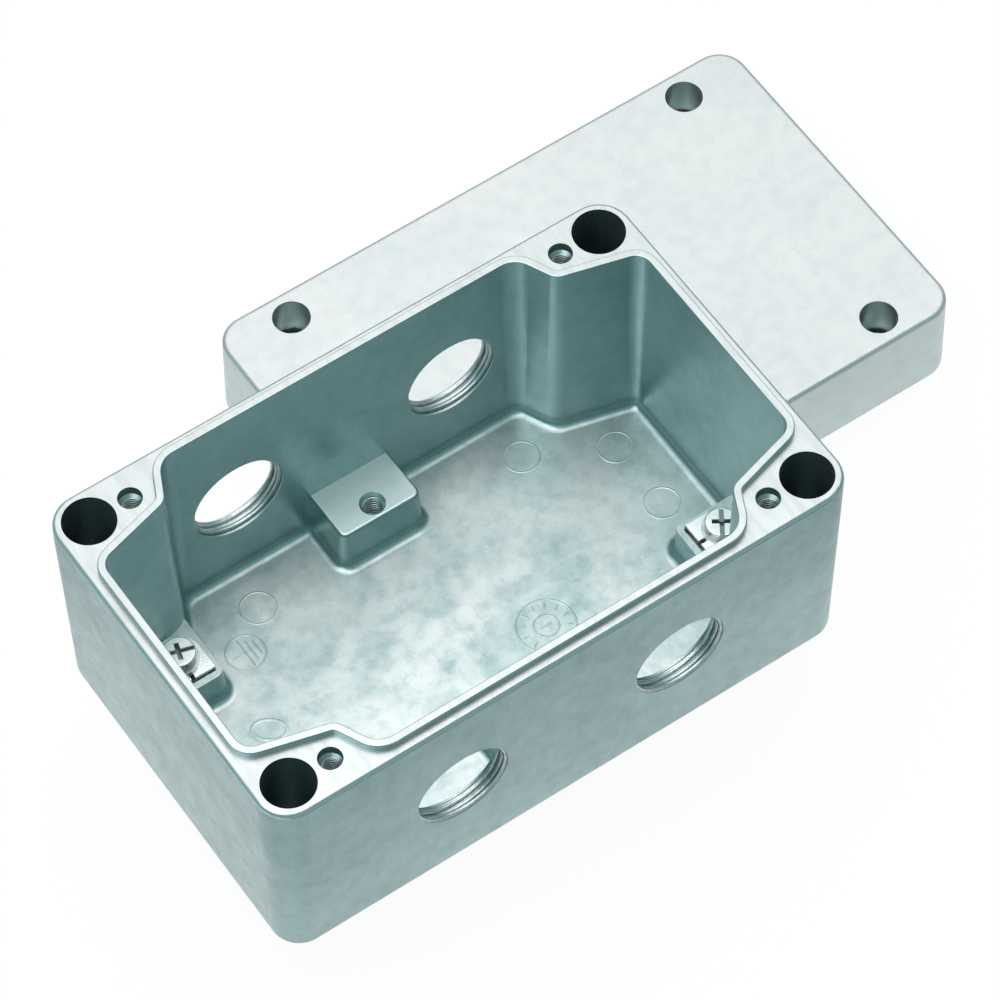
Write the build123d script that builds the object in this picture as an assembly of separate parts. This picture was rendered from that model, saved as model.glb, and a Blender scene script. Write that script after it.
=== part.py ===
from build123d import *
import math
import os

# Die cast aluminium box, opened. The base stands on its own taken-off lid, which lies rim down.
# Sizes are in millimetres. X runs along the long walls, Y across them and Z up.
# The origin is the middle of the base's underside.

# Base casting, outside
BASE_LENGTH = 160.0
BASE_WIDTH = 100.5
RIM_HEIGHT = 63.6
CORNER_RADIUS = 8.2
OUTER_DRAFT = 0.9
BOTTOM_EDGE_RADIUS = 2.0

# Milled band round the rim, set in a little from the cast skin below it
BAND_HEIGHT = 1.3
BAND_STEP = 0.15
RIM_EDGE_RADIUS = 0.85

# Base casting, inside
WALL = 4.4
FLOOR = 4.0
INNER_DRAFT = 1.45
FLOOR_FILLET = 2.4

# Sealing lip along the inner edge of the rim
LIP_WIDTH = 2.0
LIP_HEIGHT = 2.0
LIP_EDGE_RADIUS = 0.3

# Wall fixing wells in the corners
FIXING_INSET_X = 8.5
FIXING_INSET_Y = 8.3
WELL_RADIUS = 6.55
WELL_DRAFT = 0.4
FIXING_LEDGE = 8.0
FIXING_HOLE_RADIUS = 3.25

# Lid screws: pan head M5, in a row with the fixing wells
LID_SCREW_OFFSET = 11.1
LID_THREAD_RADIUS = 2.1
LID_THREAD_DEPTH = 22.0
LID_RECESS_RADIUS = 3.0
LID_RECESS_DEPTH = 2.7
LID_RECESS_CONE = 0.6

# Corner pillars, from the lid screw to the corners of the inside outline
PILLAR_ROOT_X = 10.6
PILLAR_SHOULDER_X = 5.7
PILLAR_SHOULDER_Y = 6.4
PILLAR_SIDE_Y = 12.1
PILLAR_ROOT_RADIUS = 6.0
PILLAR_SHOULDER_RADIUS = 4.0
PILLAR_SIDE_RADIUS = 4.2

# Threaded cable entries, M25 x 1.5, two in each long wall
ENTRY_RADIUS = 12.5
ENTRY_OFFSET = 30.5
ENTRY_HEIGHT = 32.5

# Blocks in the middle of the long walls, with an M6 thread for a mounting rail
BLOCK_HEIGHT = 17.0
BLOCK_WIDTH = 22.6
BLOCK_DEPTH = 15.8
BLOCK_DRAFT = 3.5
BLOCK_CORNER_RADIUS = 2.0
BLOCK_EDGE_RADIUS = 0.8
BLOCK_HOLE_INSET = 4.3
BLOCK_THREAD_RADIUS = 2.5
BLOCK_THREAD_DEPTH = 11.0
BLOCK_CHAMFER = 0.8

# Earth terminals: a boss with a fence and a groove, a saddle clamp, a washer and an M4 screw
TERMINAL_LEFT_INSET = (19.0, 24.75)
TERMINAL_RIGHT_INSET = (14.2, 32.05)
SEAT_HEIGHT = 12.5
FENCE_HEIGHT = 1.5
FENCE_WIDTH = 1.7
BOSS_FRONT = 9.1
BOSS_SIDE = 7.4
BOSS_DRAFT = 4.0
BOSS_CORNER_RADIUS = 2.5
SADDLE_WIDTH = 12.0
SADDLE_FRONT = 6.6
SADDLE_BACK = 6.5
SADDLE_THICKNESS = 1.5
SADDLE_BEND_RADIUS = 0.8
SADDLE_TONGUE = 1.8
SADDLE_NOTCH_WIDTH = 1.2
SADDLE_NOTCH_DEPTH = 2.4
GROOVE_CLEARANCE = 0.6
WASHER_RADIUS = 4.9
WASHER_THICKNESS = 1.0
EARTH_SHANK_RADIUS = 2.0
EARTH_SHANK_LENGTH = 10.0
EARTH_HEAD_RADIUS = 4.15
EARTH_HEAD_HEIGHT = 2.9
HEAD_EDGE_RADIUS = 0.4
DRIVE_WIDTH = 1.2
DRIVE_DEPTH = 1.1
CROSS_LENGTH = 4.8
SLOT_ANGLE_LEFT = -17.0
SLOT_ANGLE_RIGHT = 57.0
SHANK_CLEARANCE = 0.15
HOLE_CLEARANCE = 0.25

# Lid casting
LID_HEIGHT = 25.7
LID_DRAFT = 1.0
LID_TOP_RADIUS = 1.3
LID_ROOF = 3.5
LID_FLANGE = 2.5
LID_BORE_RADIUS = 4.9
LID_HOLE_RADIUS = 2.75

# Seal: a flat cord in a groove of the lid, over the base's lip
GROOVE_PLAY = 0.4
GROOVE_WALL = 1.6
SEAL_THICKNESS = 2.0
SEAL_SQUEEZE = 0.5
SEAL_PLAY = 0.15

# Chamfer on a screw's tip, as a share of its shank's radius
TIP_CHAMFER = 0.2

# Lid screws, loose in the lid, standing on their tips while the lid lies on its rim
LID_SHANK_RADIUS = 2.5
LID_SHANK_LENGTH = 10.0
LID_HEAD_RADIUS = 4.25
LID_HEAD_HEIGHT = 3.2

# How far the base's right and back sides reach over the lid that it stands on
LID_OVERLAP_X = 80.1
LID_OVERLAP_Y = 41.2

# Extra length that carries a cutter clear through a surface
THROUGH = 1.0

# Half the height of the slab in which an edge or face counts as lying at a level
LEVEL_NEAR = 0.001

BOTTOM_UP = (Align.CENTER, Align.CENTER, Align.MIN)
TOP_DOWN = (Align.CENTER, Align.CENTER, Align.MAX)

fixing_x = BASE_LENGTH / 2 - FIXING_INSET_X
fixing_y = BASE_WIDTH / 2 - FIXING_INSET_Y
lid_screw_x = fixing_x - LID_SCREW_OFFSET
lip_top = RIM_HEIGHT + LIP_HEIGHT
fixing_places = GridLocations(2 * fixing_x, 2 * fixing_y, 2, 2)
lid_screw_places = GridLocations(2 * lid_screw_x, 2 * fixing_y, 2, 2)


def at_level(shape, level):
    """Edges of a shape that lie in the horizontal plane at this level."""
    return shape.edges().filter_by_position(Axis.Z, level - LEVEL_NEAR, level + LEVEL_NEAR)


def shrink(height, draft):
    """How far a drafted wall moves sideways over this height."""
    return height * math.tan(math.radians(draft))


def inside_outline():
    """Outline of the opening at the rim, which runs round the four corner pillars."""
    quarter = [
        ((lid_screw_x - PILLAR_ROOT_X, BASE_WIDTH / 2 - WALL), PILLAR_ROOT_RADIUS),
        ((lid_screw_x - PILLAR_SHOULDER_X, fixing_y - PILLAR_SHOULDER_Y), PILLAR_SHOULDER_RADIUS),
        ((BASE_LENGTH / 2 - WALL, fixing_y - PILLAR_SIDE_Y), PILLAR_SIDE_RADIUS),
    ]
    points = []
    radii = []
    for side_x, side_y in ((1, 1), (1, -1), (-1, -1), (-1, 1)):
        for (x, y), radius in quarter if side_x == side_y else reversed(quarter):
            points.append((side_x * x, side_y * y))
            radii.append(radius)
    return make_face(FilletPolyline(*points, radius=radii, close=True))


def outer_skin():
    """Outside of the base: a drafted block with rounded lower edges under the milled band."""
    band_foot = RIM_HEIGHT - BAND_HEIGHT
    cast_outline = RectangleRounded(
        BASE_LENGTH + 2 * BAND_STEP, BASE_WIDTH + 2 * BAND_STEP, CORNER_RADIUS + BAND_STEP
    )
    cast = extrude(Pos(0, 0, band_foot) * cast_outline, amount=-band_foot, taper=OUTER_DRAFT)
    cast = fillet(at_level(cast, 0), BOTTOM_EDGE_RADIUS)
    milled_outline = RectangleRounded(BASE_LENGTH, BASE_WIDTH, CORNER_RADIUS)
    band = extrude(Pos(0, 0, band_foot) * milled_outline, amount=BAND_HEIGHT)
    band = fillet(at_level(band, RIM_HEIGHT), RIM_EDGE_RADIUS)
    return cast + band


def raised(outline, top, foot, draft):
    """Drafted solid that rises from a thin pad with a rounded root; the pad lies under the foot level."""
    height = top - foot
    pad_outline = offset(outline, shrink(height, draft) + 2 * FLOOR_FILLET)
    pad = extrude(Pos(0, 0, foot) * pad_outline, amount=-THROUGH)
    solid = pad + extrude(Pos(0, 0, top) * outline, amount=-height, taper=-draft)
    level_faces = solid.faces().filter_by(Axis.Z)
    floor_face = level_faces.filter_by_position(Axis.Z, foot - LEVEL_NEAR, foot + LEVEL_NEAR)[0]
    return fillet(floor_face.inner_wires()[0].edges(), FLOOR_FILLET)


def rail_block():
    """Solid of the block on the back wall, carried on into the wall behind it."""
    back = BASE_WIDTH / 2 - WALL
    length = BLOCK_DEPTH + WALL
    outline = RectangleRounded(BLOCK_WIDTH, length, BLOCK_CORNER_RADIUS)
    outline = Pos(0, back - BLOCK_DEPTH + length / 2) * outline
    block = raised(outline, BLOCK_HEIGHT, FLOOR, BLOCK_DRAFT)
    return fillet(at_level(block, BLOCK_HEIGHT), BLOCK_EDGE_RADIUS)


def terminal_place(side):
    """Frame of an earth terminal: its origin on the seat under the screw, -Y towards the groove."""
    if side == "left":
        inset_x, inset_y = TERMINAL_LEFT_INSET
        return Location((inset_x - BASE_LENGTH / 2, BASE_WIDTH / 2 - inset_y, SEAT_HEIGHT))
    inset_x, inset_y = TERMINAL_RIGHT_INSET
    centre = (BASE_LENGTH / 2 - inset_x, inset_y - BASE_WIDTH / 2, SEAT_HEIGHT)
    return Location(centre, (0, 0, -90))


def terminal_boss(side):
    """Solid of a terminal's boss, carried on into the walls that it grows from."""
    inset_x, inset_y = TERMINAL_LEFT_INSET if side == "left" else TERMINAL_RIGHT_INSET
    along_wall, across = (inset_x, inset_y) if side == "left" else (inset_y, inset_x)
    free_side = 1 if side == "left" else -1
    width = BOSS_SIDE + along_wall
    length = BOSS_FRONT + across
    middle = (free_side * (BOSS_SIDE - width / 2), length / 2 - BOSS_FRONT)
    outline = Pos(*middle) * RectangleRounded(width, length, BOSS_CORNER_RADIUS)
    boss = raised(outline, FENCE_HEIGHT, FLOOR - SEAT_HEIGHT, BOSS_DRAFT)
    fence_back = BOSS_FRONT - FENCE_WIDTH
    seat_length = length - FENCE_WIDTH
    seat = Box(2 * width, seat_length, FENCE_HEIGHT + THROUGH, align=BOTTOM_UP)
    seat = Pos(middle[0], seat_length / 2 - fence_back, 0) * seat
    tongue_back = SADDLE_FRONT - SADDLE_THICKNESS - GROOVE_CLEARANCE
    groove_depth = SADDLE_TONGUE + GROOVE_CLEARANCE
    groove = Box(SADDLE_WIDTH, fence_back - tongue_back, groove_depth + THROUGH, align=TOP_DOWN)
    groove = Pos(0, -(fence_back + tongue_back) / 2, THROUGH) * groove
    return terminal_place(side) * (boss - seat - groove)


def cavity():
    """Space inside the base: drafted, with the blocks and bosses left standing in it."""
    height = RIM_HEIGHT - FLOOR
    space = extrude(Pos(0, 0, RIM_HEIGHT) * inside_outline(), amount=-height, taper=INNER_DRAFT)
    space = fillet(at_level(space, FLOOR), FLOOR_FILLET)
    space -= [rail_block(), mirror(rail_block(), about=Plane.XZ)]
    space -= [terminal_boss("left"), terminal_boss("right")]
    return space


def sealing_lip():
    """Raised lip on the rim, along the edge of the opening."""
    ring = offset(inside_outline(), LIP_WIDTH) - inside_outline()
    lip = extrude(Pos(0, 0, RIM_HEIGHT) * ring, amount=LIP_HEIGHT)
    return fillet(at_level(lip, lip_top), LIP_EDGE_RADIUS)


def fixing_well():
    """Cutter for a corner well: a drafted shaft down to a ledge, and the fixing hole through it."""
    depth = RIM_HEIGHT - FIXING_LEDGE
    shaft = Cone(WELL_RADIUS - shrink(depth, WELL_DRAFT), WELL_RADIUS, depth, align=BOTTOM_UP)
    hole = Cylinder(FIXING_HOLE_RADIUS, FIXING_LEDGE, align=BOTTOM_UP)
    return Pos(0, 0, FIXING_LEDGE) * shaft + hole


def lid_thread_hole():
    """Cutter for a lid screw's hole: a plain recess with a drilled foot, over the threaded part."""
    recess = Cylinder(LID_RECESS_RADIUS, LID_RECESS_DEPTH, align=TOP_DOWN)
    foot = Cone(LID_THREAD_RADIUS, LID_RECESS_RADIUS, LID_RECESS_CONE, align=TOP_DOWN)
    recess += Pos(0, 0, -LID_RECESS_DEPTH) * foot
    thread = Cylinder(LID_THREAD_RADIUS, LID_THREAD_DEPTH, align=TOP_DOWN)
    return Pos(0, 0, RIM_HEIGHT) * (recess + thread)


def block_hole():
    """Cutter for the threaded hole in the back block, with its countersunk mouth."""
    y = BASE_WIDTH / 2 - WALL - BLOCK_DEPTH + BLOCK_HOLE_INSET
    thread = Cylinder(BLOCK_THREAD_RADIUS, BLOCK_THREAD_DEPTH, align=TOP_DOWN)
    mouth = Cone(BLOCK_THREAD_RADIUS, BLOCK_THREAD_RADIUS + BLOCK_CHAMFER, BLOCK_CHAMFER, align=TOP_DOWN)
    return Pos(0, y, BLOCK_HEIGHT) * (thread + mouth)


def make_base():
    """Base casting with its milled and threaded features."""
    base = outer_skin() - cavity() + sealing_lip()
    base -= [place * fixing_well() for place in fixing_places]
    base -= [place * lid_thread_hole() for place in lid_screw_places]
    for side in (-1, 1):
        entry = Rot(90, 0, 0) * Cylinder(ENTRY_RADIUS, BASE_WIDTH + 2 * THROUGH)
        base -= Pos(side * ENTRY_OFFSET, 0, ENTRY_HEIGHT) * entry
    base -= [block_hole(), mirror(block_hole(), about=Plane.XZ)]
    for side in ("left", "right"):
        depth = EARTH_SHANK_LENGTH - SADDLE_THICKNESS - WASHER_THICKNESS + THROUGH
        thread = Cylinder(EARTH_SHANK_RADIUS + SHANK_CLEARANCE, depth, align=TOP_DOWN)
        base -= terminal_place(side) * thread
    return base


def earth_clamp():
    """Saddle clamp: a plate with a round end and a tongue bent down into the groove."""
    radius = SADDLE_WIDTH / 2
    straight = SADDLE_FRONT + SADDLE_BACK - radius
    plate = Pos(0, straight / 2 - SADDLE_FRONT, 0) * Rectangle(SADDLE_WIDTH, straight)
    plate += Pos(0, SADDLE_BACK - radius, 0) * Circle(radius)
    notch = SlotOverall(2 * SADDLE_NOTCH_DEPTH, SADDLE_NOTCH_WIDTH, rotation=90)
    clamp = extrude(plate, amount=SADDLE_THICKNESS)
    tongue = Box(SADDLE_WIDTH - GROOVE_CLEARANCE, SADDLE_THICKNESS, SADDLE_TONGUE, align=TOP_DOWN)
    clamp += Pos(0, SADDLE_THICKNESS / 2 - SADDLE_FRONT, 0) * tongue
    bend = at_level(clamp, SADDLE_THICKNESS).sort_by(Axis.Y)[0]
    clamp = fillet(bend, SADDLE_BEND_RADIUS)
    height = SADDLE_TONGUE + SADDLE_THICKNESS
    clamp -= Pos(0, -SADDLE_FRONT, -SADDLE_TONGUE) * extrude(notch, amount=height)
    return clamp - Cylinder(EARTH_SHANK_RADIUS + HOLE_CLEARANCE, 2 * SADDLE_THICKNESS)


def washer():
    """Flat washer between the saddle and the screw's head."""
    ring = Circle(WASHER_RADIUS) - Circle(EARTH_SHANK_RADIUS + HOLE_CLEARANCE)
    return extrude(ring, amount=WASHER_THICKNESS)


def pan_head_screw(shank_radius, shank_length, head_radius, head_height, slot_angle):
    """Screw with a pan head and a combined slot and cross; the head's underside is at Z = 0."""
    head = Cylinder(head_radius, head_height, align=BOTTOM_UP)
    head = fillet(at_level(head, head_height), HEAD_EDGE_RADIUS)
    slot = Box(2 * head_radius + THROUGH, DRIVE_WIDTH, DRIVE_DEPTH, align=TOP_DOWN)
    cross = Box(DRIVE_WIDTH, CROSS_LENGTH, 2 * DRIVE_DEPTH, align=TOP_DOWN)
    head -= Pos(0, 0, head_height) * Rot(0, 0, slot_angle) * (slot + cross)
    shank = Cylinder(shank_radius, shank_length, align=TOP_DOWN)
    return head + chamfer(at_level(shank, -shank_length), TIP_CHAMFER * shank_radius)


def lid_place():
    """Frame of the lid, whose own origin is the middle of its rim plane."""
    x = BASE_LENGTH - LID_OVERLAP_X
    y = BASE_WIDTH - LID_OVERLAP_Y
    return Pos(x, y, -LID_HEIGHT)


def seal_track(play):
    """Ring that follows the base's lip, wider by this play on both sides."""
    return offset(inside_outline(), LIP_WIDTH + play) - offset(inside_outline(), -play)


def make_lid():
    """Lid casting: drafted, rounded on top, hollow below, with a seal groove and deep screw bores."""
    outline = RectangleRounded(BASE_LENGTH, BASE_WIDTH, CORNER_RADIUS)
    lid = extrude(outline, amount=LID_HEIGHT, taper=LID_DRAFT)
    lid = fillet(at_level(lid, LID_HEIGHT), LID_TOP_RADIUS)
    hollow = extrude(
        offset(inside_outline(), -GROOVE_PLAY - GROOVE_WALL), amount=LID_HEIGHT - LID_ROOF, taper=LID_DRAFT
    )
    lid -= fillet(at_level(hollow, LID_HEIGHT - LID_ROOF), FLOOR_FILLET)
    lid -= extrude(seal_track(GROOVE_PLAY), amount=LIP_HEIGHT + SEAL_THICKNESS - SEAL_SQUEEZE)
    bore = Pos(0, 0, LID_FLANGE) * Cylinder(LID_BORE_RADIUS, LID_HEIGHT, align=BOTTOM_UP)
    bore += Cylinder(LID_HOLE_RADIUS, LID_FLANGE, align=BOTTOM_UP)
    return lid - [place * bore for place in lid_screw_places]


def make_seal():
    """Flat sealing cord, pressed into the bottom of the lid's groove."""
    groove_depth = LIP_HEIGHT + SEAL_THICKNESS - SEAL_SQUEEZE
    cord = extrude(seal_track(GROOVE_PLAY - SEAL_PLAY), amount=SEAL_THICKNESS)
    return Pos(0, 0, groove_depth - SEAL_THICKNESS) * cord


pieces = {
    "base_casting": make_base(),
    "lid_casting": lid_place() * make_lid(),
    "lid_seal": lid_place() * make_seal(),
}

for number, place in enumerate(lid_screw_places, start=1):
    lid_screw = pan_head_screw(
        LID_SHANK_RADIUS, LID_SHANK_LENGTH, LID_HEAD_RADIUS, LID_HEAD_HEIGHT, SLOT_ANGLE_LEFT * number
    )
    standing = Pos(0, 0, LID_SHANK_LENGTH)
    pieces[f"lid_screw_{number}"] = lid_place() * place * standing * lid_screw

for side, slot_angle in (("left", SLOT_ANGLE_LEFT), ("right", SLOT_ANGLE_RIGHT + 90)):
    seat = terminal_place(side)
    earth_screw = pan_head_screw(
        EARTH_SHANK_RADIUS, EARTH_SHANK_LENGTH, EARTH_HEAD_RADIUS, EARTH_HEAD_HEIGHT, slot_angle
    )
    pieces[f"earth_clamp_{side}"] = seat * earth_clamp()
    pieces[f"earth_washer_{side}"] = seat * Pos(0, 0, SADDLE_THICKNESS) * washer()
    pieces[f"earth_screw_{side}"] = seat * Pos(0, 0, SADDLE_THICKNESS + WASHER_THICKNESS) * earth_screw

os.makedirs("parts", exist_ok=True)
for name, piece in pieces.items():
    export_step(piece, f"parts/{name}.step")
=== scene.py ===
"""Dresses the die cast aluminium box and sets it in a plain studio.

Everything is in metres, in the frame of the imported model: X along the long walls, Y across them, Z up out of
the open base, with the origin in the middle of the base's underside.
"""

import logging
import math
from dataclasses import dataclass, field
from enum import Enum
from typing import ClassVar, Dict, List, Optional, Sequence, Tuple, Union

import bpy
from mathutils import Matrix, Vector


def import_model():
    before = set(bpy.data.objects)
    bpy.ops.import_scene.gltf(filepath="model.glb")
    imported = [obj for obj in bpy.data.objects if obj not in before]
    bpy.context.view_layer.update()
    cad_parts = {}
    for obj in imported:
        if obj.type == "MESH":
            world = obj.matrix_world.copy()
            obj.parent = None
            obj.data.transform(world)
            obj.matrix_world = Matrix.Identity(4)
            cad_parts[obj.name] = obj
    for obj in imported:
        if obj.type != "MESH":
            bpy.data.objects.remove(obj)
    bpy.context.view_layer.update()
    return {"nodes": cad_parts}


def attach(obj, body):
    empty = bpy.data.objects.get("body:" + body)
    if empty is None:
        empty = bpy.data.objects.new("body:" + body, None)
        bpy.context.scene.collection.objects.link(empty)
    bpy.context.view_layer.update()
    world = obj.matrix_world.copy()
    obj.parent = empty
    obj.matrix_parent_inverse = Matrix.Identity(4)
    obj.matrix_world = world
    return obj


MM = 0.001
BODY = "root"
ALONG_Y = (math.pi / 2, 0.0, 0.0)

Colour = Tuple[float, float, float]
Point = Tuple[float, float, float]

log = logging.getLogger("box")


# Node graphs


@dataclass(frozen=True)
class Wire:
    """An output socket that takes part in expressions; each operator adds a Math node.

    Attributes:
        graph: The graph that the socket is part of.
        socket: The output socket.
    """

    graph: "Graph"
    socket: bpy.types.NodeSocket

    def __add__(self, other: "Number") -> "Wire":
        """Sum."""
        return self.graph.maths("ADD", self, other)

    def __radd__(self, other: "Number") -> "Wire":
        """Sum with a number on the left."""
        return self.graph.maths("ADD", other, self)

    def __sub__(self, other: "Number") -> "Wire":
        """Difference."""
        return self.graph.maths("SUBTRACT", self, other)

    def __rsub__(self, other: "Number") -> "Wire":
        """Difference with a number on the left."""
        return self.graph.maths("SUBTRACT", other, self)

    def __mul__(self, other: "Number") -> "Wire":
        """Product."""
        return self.graph.maths("MULTIPLY", self, other)

    def __rmul__(self, other: "Number") -> "Wire":
        """Product with a number on the left."""
        return self.graph.maths("MULTIPLY", other, self)

    def __truediv__(self, other: "Number") -> "Wire":
        """Quotient."""
        return self.graph.maths("DIVIDE", self, other)

    def __rtruediv__(self, other: "Number") -> "Wire":
        """Quotient with a number on the left."""
        return self.graph.maths("DIVIDE", other, self)

    def __abs__(self) -> "Wire":
        """Size without its sign."""
        return self.graph.maths("ABSOLUTE", self)


Number = Union[Wire, float]
Input = Union[Wire, float, int, bool, str, Sequence[float], bpy.types.ID, None]


class Graph:
    """A node tree that is built from expressions."""

    def __init__(self, tree: bpy.types.NodeTree) -> None:
        """Empties the tree and keeps it.

        Args:
            tree: The tree of a material, a world or a Geometry Nodes group.
        """
        self.tree = tree
        tree.nodes.clear()

    def node(
        self,
        kind: str,
        settings: Optional[Dict[str, object]] = None,
        inputs: Optional[Dict[Union[str, int], Input]] = None,
    ) -> bpy.types.Node:
        """Adds a node.

        Args:
            kind: Blender's name of the node's type.
            settings: Properties of the node, set before its inputs.
            inputs: Wires or plain values, by the socket's name or number.

        Returns:
            The new node.
        """
        made = self.tree.nodes.new(kind)
        for name, value in (settings or {}).items():
            setattr(made, name, value)
        for key, value in (inputs or {}).items():
            if isinstance(value, Wire):
                self.tree.links.new(value.socket, made.inputs[key])
            else:
                made.inputs[key].default_value = value
        return made

    def wire(self, node: bpy.types.Node, output: Union[str, int] = 0) -> Wire:
        """One of a node's outputs, ready for expressions."""
        return Wire(self, node.outputs[output])

    def maths(self, operation: str, *values: Number) -> Wire:
        """A Math node on up to three values."""
        return self.wire(self.node("ShaderNodeMath", {"operation": operation}, dict(enumerate(values))))

    def vector(self, operation: str, *values: Input) -> Wire:
        """A Vector Math node on up to three vectors."""
        return self.wire(self.node("ShaderNodeVectorMath", {"operation": operation}, dict(enumerate(values))))

    def blend(self, factor: Number, low: Input, high: Input) -> Wire:
        """Mixes two colours.

        Args:
            factor: How much of the second colour shows, from 0 to 1.
            low: The first colour, as a wire or a value.
            high: The second colour.

        Returns:
            The mixed colour.
        """
        ends = [value if isinstance(value, Wire) else (*value, 1.0) for value in (low, high)]
        mixed = self.node("ShaderNodeMix", {"data_type": "RGBA"}, {0: factor, 6: ends[0], 7: ends[1]})
        return self.wire(mixed, 2)

    def between(self, value: Number, start: float, end: float) -> Wire:
        """Rises smoothly from 0 to 1 over a range.

        Args:
            value: The value that is looked at.
            start: Where the result is 0; it may be larger than end.
            end: Where the result is 1.

        Returns:
            The result.
        """
        ramp = self.node(
            "ShaderNodeMapRange",
            {"interpolation_type": "SMOOTHSTEP", "clamp": True},
            {"Value": value, "From Min": start, "From Max": end, "To Min": 0.0, "To Max": 1.0},
        )
        return self.wire(ramp)

    def place(self) -> Wire:
        """Object coordinates, which are the model's own frame."""
        return self.wire(self.node("ShaderNodeTexCoord"), "Object")

    def relief(self, height: Number) -> Wire:
        """A normal that is tilted by a height in millimetres."""
        bump = {"Strength": 1.0, "Distance": MM, "Height": height}
        return self.wire(self.node("ShaderNodeBump", None, bump))

    def axes(self, vector: Wire) -> List[Wire]:
        """The three parts of a vector."""
        parts = self.node("ShaderNodeSeparateXYZ", None, {0: vector})
        return [self.wire(parts, index) for index in range(3)]

    def noise(
        self,
        where: Wire,
        size: float,
        detail: float = 3.0,
        roughness: float = 0.5,
        stretch: Optional[Point] = None,
        distortion: float = 0.0,
    ) -> Wire:
        """Cloudy noise from 0 to 1.

        Args:
            where: Coordinates in metres.
            size: Size of the largest features, in metres.
            detail: Number of finer octaves.
            roughness: Strength of the finer octaves.
            stretch: How many times longer the features are along each axis.
            distortion: How far the pattern is warped.

        Returns:
            The noise's value.
        """
        spot = where if stretch is None else self.vector("DIVIDE", where, stretch)
        octaves = {"Detail": detail, "Roughness": roughness, "Distortion": distortion}
        inputs = {"Vector": spot, "Scale": 1.0 / size, **octaves}
        return self.wire(self.node("ShaderNodeTexNoise", None, inputs))

    def specks(self, where: Wire, size: float) -> Wire:
        """Distance to the nearest of many scattered points, from 0 to about 1."""
        inputs = {"Vector": where, "Scale": 1.0 / size, "Randomness": 1.0}
        return self.wire(self.node("ShaderNodeTexVoronoi", None, inputs), "Distance")

    def hairlines(self, where: Wire, size: float, stretch: Point, width: float) -> Wire:
        """Thin wandering lines, 1 on a line: where a stretched noise passes its middle value."""
        level = self.noise(where, size, 1.0, 0.5, stretch)
        return self.between(abs(level - 0.5), width, 0.0)


# Finishes


def scaled(colour: Colour, factor: float) -> Colour:
    """A colour made lighter or darker, within what a colour can be."""
    return tuple(min(1.0, factor * part) for part in colour)


class Finish:
    """Base of all finishes: makes a material with a Principled surface.

    Attributes:
        name: Name of the material.
    """

    name: str

    def surface(self, graph: Graph) -> Dict[str, Input]:
        """The inputs of the Principled shader, by name."""
        raise NotImplementedError

    def material(self) -> bpy.types.Material:
        """The finish as a material, made once and then shared.

        Returns:
            The material, under the finish's name.
        """
        known = bpy.data.materials.get(self.name)
        if known is not None:
            return known
        made = bpy.data.materials.new(self.name)
        made.use_nodes = True
        graph = Graph(made.node_tree)
        shader = graph.node("ShaderNodeBsdfPrincipled", None, self.surface(graph))
        graph.node("ShaderNodeOutputMaterial", None, {"Surface": graph.wire(shader)})
        return made


@dataclass(frozen=True)
class CutZones:
    """Where a cutting tool has left a smoother, brighter face on a casting.

    Attributes:
        foot: Height above which the outside is milled.
        reach_x: Half length beyond which a point counts as outside.
        reach_y: Half width beyond which a point counts as outside.
        level: Height above which upward faces are milled.
        pad: Height of the rail blocks' rubbed tops.
    """

    foot: float
    reach_x: float
    reach_y: float
    level: float
    pad: float

    def outside(self, graph: Graph, spot: Wire) -> Wire:
        """How far a place lies outside the reach, below 0 within it."""
        x, y, _ = graph.axes(spot)
        return graph.maths("MAXIMUM", abs(x) - self.reach_x, abs(y) - self.reach_y)


@dataclass
class Skin:
    """What a casting's surface is so far, while its layers are laid over one another.

    Attributes:
        spot: Object coordinates.
        flat: 1 on faces that look up, 0 on walls.
        grain: The fine grain that all layers share.
        colour: Colour so far.
        roughness: Roughness so far.
        bump: Inputs of the Bump node that ends the layers so far.
    """

    spot: Wire
    flat: Wire
    grain: Wire
    colour: Optional[Wire] = None
    roughness: Number = 0.0
    bump: Dict[str, Input] = field(default_factory=dict)


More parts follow.
